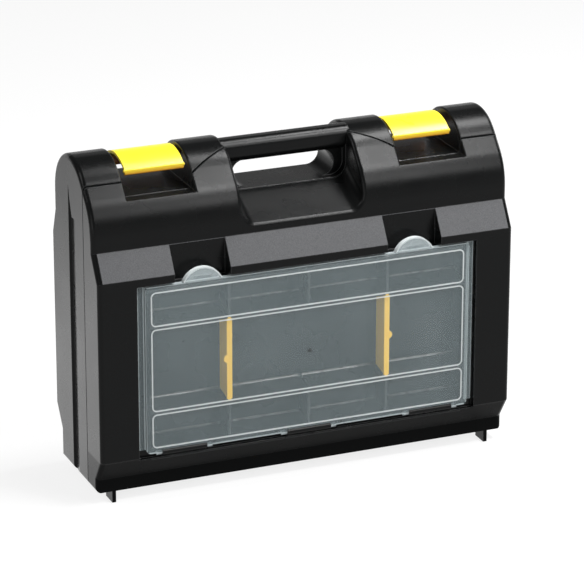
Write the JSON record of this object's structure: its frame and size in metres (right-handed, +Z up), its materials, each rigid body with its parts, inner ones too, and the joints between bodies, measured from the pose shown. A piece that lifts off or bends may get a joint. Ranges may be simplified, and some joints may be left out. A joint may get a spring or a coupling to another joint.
{
  "type": "tool case",
  "caption": "Upright clamshell tool case with a recessed carrying handle, flip latches and a clear-lidded small-parts organiser in its front.",
  "frame": {"origin": "on the floor under the middle of the case, at the tips of its foot ribs", "axes": "+X along the front to the right, +Y to the rear panel, +Z up to the handle"},
  "size_m": [0.42, 0.13, 0.3265],
  "materials": {
    "black_plastic": "fine-grained moulded black polypropylene",
    "yellow_plastic": "smooth moulded bright yellow plastic",
    "clear_plastic": "slightly hazy clear moulding",
    "divider_plastic": "moulded amber yellow plastic",
    "steel": "drawn steel rod"
  },
  "bodies": {
    "rear_half": {"rear_shell": "black_plastic", "latch_pin_left": "steel", "latch_pin_right": "steel"},
    "front_half": {"front_shell": "black_plastic", "divider_left": "divider_plastic", "divider_right": "divider_plastic", "hinge_pin_left": "steel", "hinge_pin_middle": "steel", "hinge_pin_right": "steel"},
    "lid": {"organiser_lid": "clear_plastic"},
    "latch_left_body": {"latch_left": "yellow_plastic"},
    "latch_right_body": {"latch_right": "yellow_plastic"}
  },
  "joints": [
    {"name": "front_hinge", "type": "hinge", "parent": "rear_half", "child": "front_half", "pos_m": [0, -0.026, 0.00575], "axis": [1, 0, 0], "range_deg": [0, 120]},
    {"name": "lid_hinge", "type": "hinge", "parent": "front_half", "child": "lid", "pos_m": [0, -0.0616, 0.0492], "axis": [1, 0, 0], "range_deg": [0, 105]},
    {"name": "latch_left_hinge", "type": "hinge", "parent": "rear_half", "child": "latch_left_body", "pos_m": [-0.13726, 0.04385, 0.30491], "axis": [-1, 0, 0], "range_deg": [0, 100]},
    {"name": "latch_right_hinge", "type": "hinge", "parent": "rear_half", "child": "latch_right_body", "pos_m": [0.13726, 0.04385, 0.30491], "axis": [-1, 0, 0], "range_deg": [0, 100]}
  ]
}
